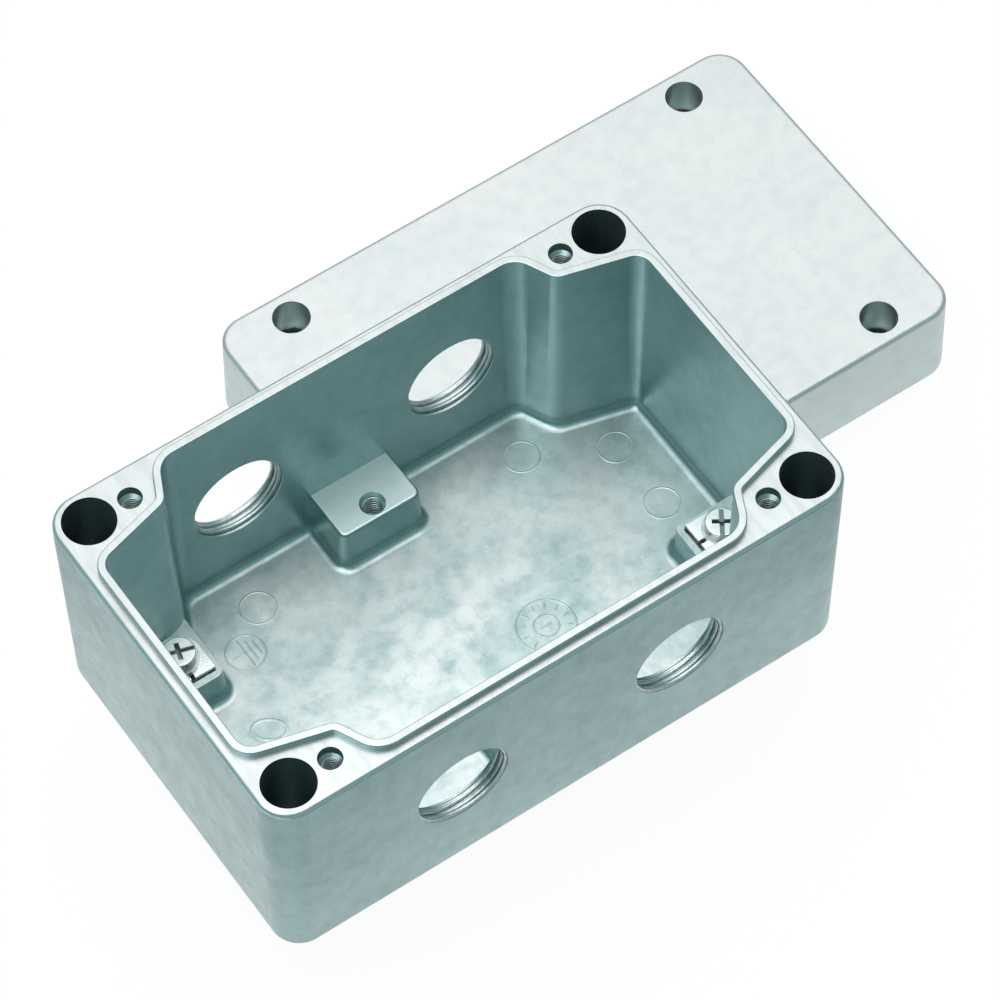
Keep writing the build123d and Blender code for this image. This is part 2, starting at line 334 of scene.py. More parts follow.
@dataclass(frozen=True)
class CastFinish(Finish):
    """Tumbled die cast aluminium: cloudy skin, fine grain, flow marks and a few pits, with painted light on
    faces that look up, and painted shade on walls, inside the box and in holes.

    Attributes:
        name: Name of the material.
        tint: Colour of the clean skin on walls, darker and more teal than on faces that look up: painted
            shade.
        shade: Colour of the darker clouds.
        inside_painted_shade: Colour of the painted shade that the walls inside the box lean to.
        inside_shade_share: How far they lean to it.
        lit_face_tint: Colour of the clean skin on faces that look up, lighter and less teal than on walls:
            painted light.
        roughness: Roughness of the skin.
        face_roughness: Roughness added on faces that look up.
        inner_roughness: Roughness added inside the box.
        cloud_size: Size of the clouds, in metres.
        cloud_depth: How strongly the clouds darken the skin.
        mottle: How strongly the grain darkens and lightens the skin.
        stain: How strongly flow marks darken the floor.
        relief: Height of the skin's waves, in millimetres.
        metallic: How much of the skin reflects as bare metal.
        zones: Milled faces, if the casting has them.
        cut_tint: Colour of the milled faces.
        cut_roughness: Their roughness.
        pad_tint: Colour of the rail blocks' rubbed tops.
        pad_roughness: Their roughness.
        floor: Height below which upward faces show flow marks.
        shaded_holes: Offsets from both middle lines, and radius, of upright holes whose wall gets painted
            shade.
        hole_shade_share: How strongly the painted shade darkens such a wall.
    """

    name: str
    tint: Colour = (0.37, 0.505, 0.51)
    shade: Colour = (0.24, 0.35, 0.355)
    inside_painted_shade: Colour = (0.12, 0.44, 0.46)
    inside_shade_share: float = 0.16
    lit_face_tint: Colour = (0.57, 0.595, 0.595)
    roughness: float = 0.30
    face_roughness: float = 0.14
    inner_roughness: float = 0.03
    cloud_size: float = 20.0 * MM
    cloud_depth: float = 0.62
    mottle: float = 0.28
    stain: float = 0.20
    relief: float = 0.022
    metallic: float = 0.86
    zones: Optional[CutZones] = None
    cut_tint: Colour = (0.49, 0.50, 0.50)
    cut_roughness: float = 0.34
    pad_tint: Colour = (0.60, 0.69, 0.69)
    pad_roughness: float = 0.46
    floor: Optional[float] = None
    shaded_holes: Tuple[Tuple[float, float, float], ...] = ()
    hole_shade_share: float = 0.50

    def surface(self, graph: Graph) -> Dict[str, Input]:
        """The skin, with the painted shade inside the box, the milled faces, the rubbed pads and the painted
        shade in the holes laid over it.

        Args:
            graph: The material's nodes.

        Returns:
            Inputs of the Principled shader.
        """
        spot = graph.place()
        up = graph.axes(graph.wire(graph.node("ShaderNodeNewGeometry"), "Normal"))[2]
        skin = Skin(spot, graph.between(up, 0.80, 0.97), graph.noise(spot, 0.55 * MM, 3.0, 0.6))
        self.lay_casting(graph, skin)
        if self.zones is not None:
            self.lay_inside_shade(graph, skin)
            self.mill(graph, skin)
            self.rub_pads(graph, skin)
        for hole_x, hole_y, radius in self.shaded_holes:
            self.paint_hole_shade(graph, skin, hole_x, hole_y, radius)
        return {
            "Base Color": skin.colour,
            "Metallic": self.metallic,
            "Roughness": skin.roughness,
            "Normal": graph.wire(graph.node("ShaderNodeBump", None, skin.bump)),
        }

    def lay_casting(self, graph: Graph, skin: Skin) -> None:
        """Lays the cast skin: clouds, blotches, drag lines, pits, nicks and the floor's flow marks.

        Args:
            graph: The material's nodes.
            skin: The surface so far, which gets its first colour, roughness and bump.
        """
        spot, flat, grain = skin.spot, skin.flat, skin.grain
        upright = 1.0 - flat
        cloud = graph.noise(spot, self.cloud_size, 4.0, 0.55, None, 0.1)
        blotch = graph.noise(spot, 4.5 * MM, 5.0, 0.62, None, 0.1)
        drag = graph.noise(spot, 1.3 * MM, 3.0, 0.6, (1.0, 1.0, 22.0))
        rare = graph.between(graph.noise(spot, 9.0 * MM, 2.0), 0.54, 0.64)
        pits = graph.between(graph.specks(spot, 2.4 * MM), 0.15, 0.03) * rare
        long_spot = graph.vector("DIVIDE", spot, (3.5, 1.0, 1.5))
        nicks = graph.between(graph.specks(long_spot, 4.6 * MM), 0.055, 0.02) * flat

        stain: Number = 0.0
        if self.floor is not None:
            on_floor = flat * graph.between(graph.axes(spot)[2], self.floor + 1.0 * MM, self.floor)
            flow = graph.noise(spot, 8.0 * MM, 5.0, 0.62, (1.3, 1.0, 1.0), 0.3)
            stain = on_floor * graph.between(flow, 0.42, 0.70) * self.stain
        clouds = graph.between(cloud, 0.36, 0.68) * 0.56 + graph.between(blotch, 0.40, 0.66) * 0.44
        streaks = upright * graph.between(drag, 0.46, 0.74) * 0.10
        dark = clouds * self.cloud_depth + stain + streaks + (grain - 0.5) * self.mottle + pits * 0.3
        # Painted light and painted shade: faces that look up get a lighter, more neutral colour than walls.
        clean = graph.blend(flat, self.tint, self.lit_face_tint)
        cloudy = graph.blend(graph.maths("MINIMUM", dark, 1.0), clean, self.shade)
        skin.colour = graph.blend(nicks * 0.35, cloudy, scaled(self.lit_face_tint, 1.3))

        uneven = (grain - 0.5) * 0.10 + (blotch - 0.5) * 0.18 + stain * 0.12
        skin.roughness = self.roughness + flat * self.face_roughness + uneven
        waves = (blotch - 0.5) * 1.3 + (cloud - 0.5) * 2.0 + (grain - 0.5) * 0.35
        marks = (drag - 0.5) * upright * 0.10 - (pits * 0.15 + nicks) * 1.2
        skin.bump = {"Strength": 1.0, "Distance": MM, "Height": (waves + marks) * self.relief}

    def lay_inside_shade(self, graph: Graph, skin: Skin) -> None:
        """Turns the walls inside the box towards a darker, more teal colour: painted shade.

        Args:
            graph: The material's nodes.
            skin: The surface so far.
        """
        within = graph.between(self.zones.outside(graph, skin.spot), -1.5 * MM, -2.5 * MM) * (1.0 - skin.flat)
        # Painted shade: walls inside the box lean to a darker, more teal colour.
        skin.colour = graph.blend(within * self.inside_shade_share, skin.colour, self.inside_painted_shade)
        skin.roughness = skin.roughness + within * self.inner_roughness

    def mill(self, graph: Graph, skin: Skin) -> None:
        """Lays the milled band and the milled sealing faces over the skin.

        Args:
            graph: The material's nodes.
            skin: The surface so far.
        """
        zones, spot = self.zones, skin.spot
        z = graph.axes(spot)[2]
        outside = graph.between(zones.outside(graph, spot), 0.0, 0.2 * MM)
        band = outside * graph.between(z, zones.foot - 0.05 * MM, zones.foot)
        top = skin.flat * graph.between(z, zones.level - 0.3 * MM, zones.level)
        cut = graph.maths("MAXIMUM", band, top)
        passes = graph.noise(spot, 0.55 * MM, 2.0, 0.5, (30.0, 30.0, 1.0))
        swirl = graph.noise(spot, 2.2 * MM, 3.0, 0.55, (1.0, 5.0, 1.0))
        worn = graph.between(swirl, 0.38, 0.68) * 0.55
        faced = graph.blend(worn, self.cut_tint, scaled(self.cut_tint, 0.80))
        skin.colour = graph.blend(cut, skin.colour, graph.blend(top, self.tint, faced))
        smooth = self.cut_roughness + (passes - 0.5) * 0.14 + (swirl - 0.5) * 0.10
        skin.roughness = skin.roughness * (1.0 - cut) + smooth * cut
        cast = graph.wire(graph.node("ShaderNodeBump", None, {**skin.bump, "Strength": 1.0 - cut}))
        fine = (passes - 0.5) * 0.006 + (skin.grain - 0.5) * 0.003
        skin.bump = {"Strength": cut, "Distance": MM, "Height": fine, "Normal": cast}

    def rub_pads(self, graph: Graph, skin: Skin) -> None:
        """Lays the rubbed tops of the rail blocks over the skin.

        Args:
            graph: The material's nodes.
            skin: The surface so far.
        """
        off_level = abs(graph.axes(skin.spot)[2] - self.zones.pad)
        pad = skin.flat * graph.between(off_level, 0.4 * MM, 0.2 * MM)
        rubbed = graph.noise(skin.spot, 1.6 * MM, 4.0, 0.6, (9.0, 1.0, 1.0))
        tint = graph.blend(graph.between(rubbed, 0.42, 0.66) * 0.5, self.pad_tint, self.lit_face_tint)
        skin.colour = graph.blend(pad, skin.colour, tint)
        skin.roughness = skin.roughness * (1.0 - pad) + (self.pad_roughness + (rubbed - 0.5) * 0.20) * pad

    def paint_hole_shade(self, graph: Graph, skin: Skin, hole_x: float, hole_y: float, radius: float) -> None:
        """Darkens the walls of the four mirrored holes of one size with painted shade.

        Args:
            graph: The material's nodes.
            skin: The surface so far.
            hole_x: Offset of the holes from the middle, along X.
            hole_y: Offset along Y.
            radius: Radius of the holes.
        """
        x, y, _ = graph.axes(skin.spot)
        beside_x, beside_y = abs(x) - hole_x, abs(y) - hole_y
        off_axis = graph.maths("SQRT", beside_x * beside_x + beside_y * beside_y)
        inside = graph.between(off_axis, radius + 0.3 * MM, radius + 0.1 * MM) * (1.0 - skin.flat)
        # Painted shade on the hole's wall.
        skin.colour = graph.blend(inside * self.hole_shade_share, skin.colour, scaled(self.shade, 0.45))


@dataclass(frozen=True)
class PlatedFinish(Finish):
    """Plated steel: small bright scuffs, fine brushing and, where a height is given, painted shade in the
    hollows.

    Attributes:
        name: Name of the material.
        tint: Colour of the plating.
        shade: Colour of its duller patches.
        roughness: Roughness of the plating.
        grain: How many times longer the brushing is along each axis.
        shade_below: Height above which the plating keeps its own colour; below it, painted shade darkens it.
    """

    name: str
    tint: Colour = (0.60, 0.65, 0.65)
    shade: Colour = (0.36, 0.42, 0.42)
    roughness: float = 0.30
    grain: Point = (1.0, 1.0, 1.0)
    shade_below: Optional[float] = None

    def surface(self, graph: Graph) -> Dict[str, Input]:
        """Colour, roughness and relief of the plating.

        Args:
            graph: The material's nodes.

        Returns:
            Inputs of the Principled shader.
        """
        spot = graph.place()
        patch = graph.noise(spot, 1.6 * MM, 4.0, 0.6, None, 0.4)
        brush = graph.noise(spot, 0.16 * MM, 2.0, 0.5, self.grain)
        scuff = graph.hairlines(spot, 1.1 * MM, (1.0, 4.0, 1.0), 0.012)
        colour = graph.blend(graph.between(patch, 0.42, 0.68) * 0.6, self.tint, self.shade)
        colour = graph.blend(scuff * 0.4, colour, scaled(self.tint, 1.2))
        if self.shade_below is not None:
            # Painted shade below the given height, as in a screw head's recess.
            painted_shade = graph.between(graph.axes(spot)[2], self.shade_below, self.shade_below - 0.4 * MM)
            colour = graph.blend(painted_shade * 0.85, colour, scaled(self.shade, 0.22))
        return {
            "Base Color": colour,
            "Metallic": 1.0,
            "Roughness": self.roughness + (patch - 0.5) * 0.14 + (brush - 0.5) * 0.08,
            "Normal": graph.relief((brush - 0.5) * 0.004 + (patch - 0.5) * 0.006 - scuff * 0.003),
        }


@dataclass(frozen=True)
class RubberFinish(Finish):
    """Black sealing cord: matt, slightly dusty, with a fine pebble.

    Attributes:
        name: Name of the material.
        tint: Colour of clean rubber.
        dust: Colour of the dust on it.
        roughness: Roughness of clean rubber.
    """

    name: str
    tint: Colour = (0.018, 0.019, 0.020)
    dust: Colour = (0.055, 0.060, 0.060)
    roughness: float = 0.62

    def surface(self, graph: Graph) -> Dict[str, Input]:
        """Colour, roughness and relief of the rubber.

        Args:
            graph: The material's nodes.

        Returns:
            Inputs of the Principled shader.
        """
        spot = graph.place()
        dusty = graph.between(graph.noise(spot, 7.0 * MM, 5.0, 0.65), 0.42, 0.72)
        pebble = graph.noise(spot, 0.35 * MM, 3.0, 0.6)
        return {
            "Base Color": graph.blend(dusty, self.tint, self.dust),
            "Roughness": self.roughness + dusty * 0.2 + (pebble - 0.5) * 0.1,
            "Normal": graph.relief(pebble * 0.02),
        }


# Growing meshes with Geometry Nodes


class Port(Enum):
    """Kinds of socket that a node group offers."""

    GEOMETRY = "NodeSocketGeometry"
    LENGTH = "NodeSocketFloat"
    TURN = "NodeSocketVector"
    MATERIAL = "NodeSocketMaterial"


class Grower:
    """Base of the Geometry Nodes groups: named inputs, and an ending that makes plain geometry.

    Attributes:
        name: Name of the group.
        ports: The group's own inputs and their kinds.
    """

    name = "grower"
    ports: Dict[str, Port] = {}

    def __init__(self) -> None:
        """Builds the group once."""
        self.group = bpy.data.node_groups.new(self.name, "GeometryNodeTree")
        self.identifiers: Dict[str, str] = {}
        interface = self.group.interface
        interface.new_socket("Geometry", in_out="OUTPUT", socket_type=Port.GEOMETRY.value)
        interface.new_socket("Geometry", in_out="INPUT", socket_type=Port.GEOMETRY.value)
        for label, port in {**self.ports, "Material": Port.MATERIAL}.items():
            socket = interface.new_socket(label, in_out="INPUT", socket_type=port.value)
            self.identifiers[label] = socket.identifier
        graph = Graph(self.group)
        entry = graph.node("NodeGroupInput")
        given = {socket.name: graph.wire(entry, socket.name) for socket in entry.outputs if socket.name}
        grown = self.build(graph, given)
        plain = graph.node("GeometryNodeRealizeInstances", None, {"Geometry": grown})
        painted = graph.node(
            "GeometryNodeSetMaterial", None, {"Geometry": graph.wire(plain), "Material": given["Material"]}
        )
        graph.node("NodeGroupOutput", None, {"Geometry": graph.wire(painted)})

    def build(self, graph: Graph, given: Dict[str, Wire]) -> Wire:
        """Adds the group's own nodes and gives what they grow."""
        raise NotImplementedError

    def set_on_points(self, graph: Graph, given: Dict[str, Wire], shape: bpy.types.Node) -> Wire:
        """The shape, turned and set on every point of the seed."""
        inputs = {"Points": given["Geometry"], "Instance": graph.wire(shape), "Rotation": given["Turn"]}
        return graph.wire(graph.node("GeometryNodeInstanceOnPoints", None, inputs))

    def grow(self, name: str, seed: bpy.types.Mesh, values: Dict[str, object]) -> bpy.types.Mesh:
        """Runs the group on a mesh.

        Args:
            name: Name of the mesh that comes out.
            seed: Points or edges that the group works on.
            values: The group's inputs, by name.

        Returns:
            A plain mesh, with nothing left of the group on it.
        """
        helper = bpy.data.objects.new(f"{name}_seed", seed)
        bpy.context.scene.collection.objects.link(helper)
        modifier = helper.modifiers.new("grow", "NODES")
        modifier.node_group = self.group
        for label, value in values.items():
            modifier[self.identifiers[label]] = value
        grown = bpy.data.meshes.new_from_object(helper.evaluated_get(bpy.context.evaluated_depsgraph_get()))
        grown.name = name
        bpy.data.objects.remove(helper)
        return grown


class ThreadGrower(Grower):
    """Lays a tapered helical ridge in each hole of a set."""

    name = "thread"
    ports = {
        "Radius": Port.LENGTH,
        "Pitch": Port.LENGTH,
        "Turns": Port.LENGTH,
        "Ridge": Port.LENGTH,
        "Run-out": Port.LENGTH,
        "Turn": Port.TURN,
    }

    def build(self, graph: Graph, given: Dict[str, Wire]) -> Wire:
        """A spiral centred on its hole, swept with a diamond, and set on every point.

        Args:
            graph: The group's nodes.
            given: The group's inputs, by name.

        Returns:
            The grown geometry.
        """
        length = given["Turns"] * given["Pitch"]
        spiral = graph.node(
            "GeometryNodeCurveSpiral",
            None,
            {
                "Resolution": 96,
                "Rotations": given["Turns"],
                "Start Radius": given["Radius"],
                "End Radius": given["Radius"],
                "Height": length,
            },
        )
        shift = graph.node("ShaderNodeCombineXYZ", None, {"Z": length * -0.5})
        centred = graph.node(
            "GeometryNodeTransform", None, {"Geometry": graph.wire(spiral), "Translation": graph.wire(shift)}
        )
        along = graph.wire(graph.node("GeometryNodeSplineParameter"), "Factor")
        end = graph.maths("MINIMUM", along, 1.0 - along) * given["Turns"] / given["Run-out"]
        size = graph.maths("MAXIMUM", graph.maths("MINIMUM", end, 1.0), 0.02)
        tapered = graph.node(
            "GeometryNodeSetCurveRadius", None, {"Curve": graph.wire(centred), "Radius": size}
        )
        profile = graph.node(
            "GeometryNodeCurvePrimitiveQuadrilateral",
            {"mode": "RECTANGLE"},
            {"Width": given["Ridge"] * 1.15, "Height": given["Ridge"] * 1.15},
        )
        eighth_turn = (0.0, 0.0, math.pi / 4)
        tilted = graph.node(
            "GeometryNodeTransform", None, {"Geometry": graph.wire(profile), "Rotation": eighth_turn}
        )
        swept = graph.node(
            "GeometryNodeCurveToMesh",
            None,
            {"Curve": graph.wire(tapered), "Profile Curve": graph.wire(tilted), "Fill Caps": True},
        )
        return self.set_on_points(graph, given, swept)


class BeadGrower(Grower):
    """Sweeps a round bead along every edge line of a mesh."""

    name = "bead"
    ports = {"Width": Port.LENGTH}

    def build(self, graph: Graph, given: Dict[str, Wire]) -> Wire:
        """Lines become curves and then closed tubes.

        Args:
            graph: The group's nodes.
            given: The group's inputs, by name.

        Returns:
            The grown geometry.
        """
        curve = graph.node("GeometryNodeMeshToCurve", None, {"Mesh": given["Geometry"]})
        circle = {"Resolution": 12, "Radius": given["Width"] * 0.5}
        profile = graph.node("GeometryNodeCurvePrimitiveCircle", {"mode": "RADIUS"}, circle)
        swept = graph.node(
            "GeometryNodeCurveToMesh",
            None,
            {"Curve": graph.wire(curve), "Profile Curve": graph.wire(profile), "Fill Caps": True},
        )
        smooth = graph.node("GeometryNodeSetShadeSmooth", None, {"Geometry": graph.wire(swept)})
        return graph.wire(smooth)


class ChamferGrower(Grower):
    """Sets a ring of triangular section on every point, as the chamfer at a hole's mouth."""

    name = "chamfer"
    ports = {"Radius": Port.LENGTH, "Ridge": Port.LENGTH, "Length": Port.LENGTH, "Turn": Port.TURN}

    def build(self, graph: Graph, given: Dict[str, Wire]) -> Wire:
        """A circle swept with a triangle whose base lies on the hole's wall.

        Args:
            graph: The group's nodes.
            given: The group's inputs, by name.

        Returns:
            The grown geometry.
        """
        reach = given["Ridge"] * (2.0 / 3.0)
        line = graph.node(
            "GeometryNodeCurvePrimitiveCircle",
            {"mode": "RADIUS"},
            {"Resolution": 128, "Radius": given["Radius"] - reach * 0.5},
        )
        profile = graph.node(
            "GeometryNodeCurvePrimitiveCircle", {"mode": "RADIUS"}, {"Resolution": 3, "Radius": reach}
        )
        longer = given["Length"] / (reach * math.sqrt(3.0))
        stretch = graph.node("ShaderNodeCombineXYZ", None, {"X": 1.0, "Y": longer, "Z": 1.0})
        shaped = graph.node(
            "GeometryNodeTransform",
            None,
            {"Geometry": graph.wire(profile), "Rotation": (0.0, 0.0, math.pi), "Scale": graph.wire(stretch)},
        )
        swept = graph.node(
            "GeometryNodeCurveToMesh", None, {"Curve": graph.wire(line), "Profile Curve": graph.wire(shaped)}
        )
        return self.set_on_points(graph, given, swept)


# Pieces


def seed_mesh(name: str, points: Sequence[Point], edges: Sequence[Tuple[int, int]] = ()) -> bpy.types.Mesh:
    """A mesh of bare points and edges.

    Args:
        name: Name of the mesh.
        points: Its points.
        edges: Pairs of the points' numbers.

    Returns:
        The new mesh.
    """
    mesh = bpy.data.meshes.new(name)
    mesh.from_pydata(list(points), list(edges), [])
    return mesh


def add_piece(name: str, mesh: bpy.types.Mesh) -> bpy.types.Object:
    """Puts a finished mesh into the scene as a piece of the object.

    Args:
        name: Name of the piece.
        mesh: Its mesh, in the model's frame.

    Returns:
        The new object.
    """
    piece = bpy.data.objects.new(name, mesh)
    bpy.context.scene.collection.objects.link(piece)
    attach(piece, BODY)
    log.info("%s: %d faces", name, len(mesh.polygons))
    return piece


def dress(node: bpy.types.Object, finish: Finish) -> None:
    """Gives a CAD node its finish on all of its material slots.

    Args:
        node: The node, whose mesh stays as it is.
        finish: The finish.
    """
    material = finish.material()
    if not node.material_slots:
        node.data.materials.append(material)
    for slot in node.material_slots:
        slot.material = material
    log.info("%s: dressed in %s", node.name, material.name)


@dataclass(frozen=True, kw_only=True)
class GrownSet:
    """Shapes that are grown in the holes of one size.

    Attributes:
        name: Name of the piece that they become.
        centres: Middle of the shape in each hole.
        radius: Radius of the hole's wall.
        ridge: How far a chamfer stands in from the wall. A thread stands in by about 0.8 of it.
        turn: Rotation from an upright hole.
    """

    name: str
    centres: Tuple[Point, ...]
    radius: float
    ridge: float
    turn: Point = (0.0, 0.0, 0.0)

    def values(self) -> Dict[str, object]:
        """The inputs of the group that grows them, by name."""
        return {"Radius": self.radius, "Ridge": self.ridge, "Turn": self.turn}

    def piece(self, grower: Grower, finish: Finish, slot: str) -> bpy.types.Object:
        """Grows the set as one piece.

        Args:
            grower: The group that makes the shape.
            finish: Finish of the shapes.
            slot: The record's material slot of the casting; not used.

        Returns:
            The new piece.
        """
        places = seed_mesh(f"{self.name}_places", self.centres)
        mesh = grower.grow(self.name, places, {**self.values(), "Material": finish.material()})
        return add_piece(self.name, mesh)


@dataclass(frozen=True, kw_only=True)
class ThreadSet(GrownSet):
    """Threads in holes of one size.

    Attributes:
        pitch: Distance between turns.
        turns: Number of turns.
        run_out: Turns over which the ends fade.
    """

    pitch: float
    turns: float
    run_out: float

    def values(self) -> Dict[str, object]:
        """The inputs of the thread group, by name."""
        return {**super().values(), "Pitch": self.pitch, "Turns": self.turns, "Run-out": self.run_out}


@dataclass(frozen=True, kw_only=True)
class MouthSet(GrownSet):
    """Chamfers at the mouths of threaded holes of one size.

    Attributes:
        length: Length of the ring along the hole.
    """

    length: float

    def values(self) -> Dict[str, object]:
        """The inputs of the chamfer group, by name."""
        return {**super().values(), "Length": self.length}


def mirrored(x: float, y: float, z: float) -> Tuple[Point, ...]:
    """The four points that a point makes when mirrored across X and Y."""
    return tuple((side_x * x, side_y * y, z) for side_x in (-1, 1) for side_y in (-1, 1))


@dataclass
class LineDrawing:
    """Flat line work at one height, collected as edges.

    Attributes:
        height: Height of all lines.
        points: Their points so far.
        edges: Pairs of the points' numbers.
    """

    height: float
    points: List[Point] = field(default_factory=list)
    edges: List[Tuple[int, int]] = field(default_factory=list)

    def path(self, spots: Sequence[Tuple[float, float]], closed: bool = False) -> None:
        """Adds a line.

        Args:
            spots: The places that it runs through, as X and Y.
            closed: Whether it returns to its start.
        """
        first = len(self.points)
        self.points += [(x, y, self.height) for x, y in spots]
        last = len(self.points) - 1
        self.edges += [(index, index + 1) for index in range(first, last)]
        if closed:
            self.edges.append((last, first))

    def ring(
        self, x: float, y: float, radius_x: float, radius_y: float, steps: int = 56, turn: float = 0.0
    ) -> None:
        """Adds a circle or an oval.

        Args:
            x: X of its middle.
            y: Y of its middle.
            radius_x: Half its length.
            radius_y: Half its width.
            steps: Number of straight lines in it.
            turn: Angle by which it is turned, in radians.
        """
        cos, sin = math.cos(turn), math.sin(turn)
        spots = []
        for step in range(steps):
            angle = 2 * math.pi * step / steps
            along, across = radius_x * math.cos(angle), radius_y * math.sin(angle)
            spots.append((x + along * cos - across * sin, y + along * sin + across * cos))
        self.path(spots, True)

    def mesh(self, name: str) -> bpy.types.Mesh:
        """The lines as a mesh of edges."""
        return seed_mesh(name, self.points, self.edges)


@dataclass(frozen=True)
class FloorMarks:
    """Raised marks on the casting's floor: ejector rings, the earth sign, a bare oval and a date dial.

    Places and radii are in millimetres here, widths and heights in metres.

    Attributes:
        height: Height of the floor.
        ejector_places: Middles of the ejector rings.
        ejector_radius: Their radius.
        earth: Middle and radius of the earth sign.
        earth_bars: Half lengths of the earth sign's bars, as shares of its radius.
        earth_step: Distance between those bars, as a share of the radius.
        earth_stem: Length of the stem, as a share of the radius.
        dial: Middle and radius of the date dial.
        dial_hub: Radius of the dial's inner ring, as a share of its radius.
        dial_ticks: Where the twelve ticks start and end, as shares of the radius.
        dial_pointer: Half length of the pointer, as a share of the radius.
        oval: Middle, half length and half width of the bare oval.
        oval_turn: Angle by which the oval is turned, in degrees.
        line_width: Width of the signs' lines.
        ring_width: Width of the ejector rings' lines.
        oval_width: Width of the oval's line.
        sink: Depth of a sign's lines' middle below the floor, as a share of their width.
        ring_sink: The same for the ejector rings, which hardly stand out.
        oval_sink: The same for the oval.
    """

    height: float = 4.0 * MM
    ejector_places: Tuple[Tuple[float, float], ...] = ((-34.9, 32.3), (41.8, 31.9), (62.4, 21.1), (62.4, 1.3))
    ejector_radius: float = 4.5
    earth: Tuple[float, float, float] = (-44.2, 23.4, 4.95)
    earth_bars: Tuple[float, ...] = (0.84, 0.62, 0.42)
    earth_step: float = 0.32
    earth_stem: float = 0.72
    dial: Tuple[float, float, float] = (19.3, -11.4, 7.4)
    dial_hub: float = 0.42
    dial_ticks: Tuple[float, float] = (0.68, 0.90)
    dial_pointer: float = 0.22
    oval: Tuple[float, float, float, float] = (-51.1, 2.4, 4.2, 2.8)
    oval_turn: float = -37.0
    line_width: float = 0.80 * MM
    ring_width: float = 1.30 * MM
    oval_width: float = 4.0 * MM
    sink: float = 0.40
    ring_sink: float = 0.445
    oval_sink: float = 0.47

    def earth_sign(self, drawing: LineDrawing) -> None:
        """Draws the protective earth sign: a stem and three bars in a circle.

        Args:
            drawing: The line work that it joins.
        """
        x, y, radius = (MM * value for value in self.earth)
        drawing.ring(x, y, radius, radius)
        drawing.path([(x - self.earth_stem * radius, y), (x, y)])
        for step, half in enumerate(self.earth_bars):
            along = x + step * self.earth_step * radius
            drawing.path([(along, y - half * radius), (along, y + half * radius)])

    def date_dial(self, drawing: LineDrawing) -> None:
        """Draws a date dial without figures: two rings, twelve ticks and a pointer.

        Args:
            drawing: The line work that it joins.
        """
        x, y, radius = (MM * value for value in self.dial)
        hub, half = self.dial_hub * radius, self.dial_pointer * radius
        inner, outer = (share * radius for share in self.dial_ticks)
        drawing.ring(x, y, radius, radius, steps=72)
        drawing.ring(x, y, hub, hub, steps=48)
        for hour in range(12):
            turn = 2 * math.pi * hour / 12
            cos, sin = math.cos(turn), math.sin(turn)
            drawing.path([(x + inner * cos, y + inner * sin), (x + outer * cos, y + outer * sin)])
        drawing.path([(x - half, y), (x + half, y)])

    def pieces(self, finish: Finish, slot: str) -> None:
        """Makes the marks as beads of different widths.

        Args:
            finish: Finish of the casting, which the marks share.
            slot: The record's material slot of the casting; not used.
        """
        rings = LineDrawing(self.height - self.ring_sink * self.ring_width)
        radius = self.ejector_radius * MM
        for x, y in self.ejector_places:
            rings.ring(x * MM, y * MM, radius, radius)
        signs = LineDrawing(self.height - self.sink * self.line_width)
        self.earth_sign(signs)
        self.date_dial(signs)
        oval = LineDrawing(self.height - self.oval_sink * self.oval_width)
        oval.ring(*(MM * value for value in self.oval), turn=math.radians(self.oval_turn))
        beads = BeadGrower()
        for name, drawing, width in (
            ("ejector_rings", rings, self.ring_width),
            ("floor_signs", signs, self.line_width),
            ("floor_oval", oval, self.oval_width),
        ):
            values = {"Width": width, "Material": finish.material()}
            add_piece(name, beads.grow(name, drawing.mesh(f"{name}_lines"), values))


